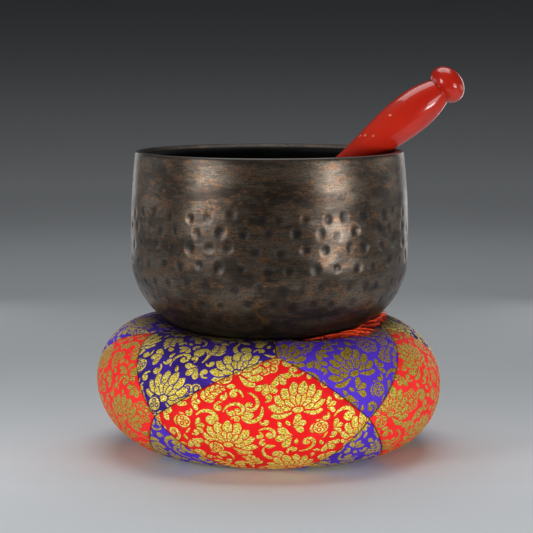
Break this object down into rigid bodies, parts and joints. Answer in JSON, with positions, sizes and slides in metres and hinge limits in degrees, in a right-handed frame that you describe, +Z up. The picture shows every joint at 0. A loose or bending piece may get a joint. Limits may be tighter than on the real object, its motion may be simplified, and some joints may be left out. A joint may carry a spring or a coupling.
{
  "type": "singing bowl",
  "caption": "Hammered bronze singing bowl on a round patchwork brocade cushion, with a turned lacquered striker that has a leather-covered head.",
  "frame": {"origin": "middle of the cushion's sole, on the surface it stands on", "axes": "+Z up, front is -Y, and the striker leans out over the rim towards +X"},
  "size_m": [0.1997, 0.187, 0.2067],
  "materials": {
    "bronze": "dark brown-black patina, hammered, satin",
    "red_brocade": "satin weave with raised gold threads",
    "purple_brocade": "satin weave with raised gold threads",
    "cotton": "loose fibre",
    "red_thread": "glossy twisted thread",
    "gold_thread": "glossy twisted thread",
    "red_lacquer": "glossy red lacquer",
    "felt": "matt felt",
    "leather": "smooth tanned leather",
    "lace": "waxed lace"
  },
  "bodies": {
    "cushion": {"side_panel_1": "red_brocade", "side_panel_2": "red_brocade", "side_panel_3": "red_brocade", "side_panel_4": "red_brocade", "side_panel_5": "red_brocade", "top_panel_1": "purple_brocade", "top_panel_2": "purple_brocade", "top_panel_3": "purple_brocade", "top_panel_4": "purple_brocade", "top_panel_5": "purple_brocade", "base_panel_1": "purple_brocade", "base_panel_2": "purple_brocade", "base_panel_3": "purple_brocade", "base_panel_4": "purple_brocade", "base_panel_5": "purple_brocade", "cushion_filling": "cotton", "tie_cord": "red_thread", "base_button": "purple_brocade", "tassel_knot": "red_thread", "tassel_binding": "gold_thread", "tassel_threads": "red_thread"},
    "bowl": {"bowl": "bronze"},
    "striker": {"striker_handle": "red_lacquer", "felt_padding": "felt", "leather_sleeve": "leather", "sleeve_lacing": "lace", "leather_tip": "leather"}
  },
  "joints": [
    {"name": "bowl_lift", "type": "slide", "parent": "cushion", "child": "bowl", "axis": [0, 0, 1], "range_m": [0, 0.06]},
    {"name": "striker_lift", "type": "slide", "parent": "bowl", "child": "striker", "axis": [0, 0, 1], "range_m": [0, 0.13]}
  ]
}
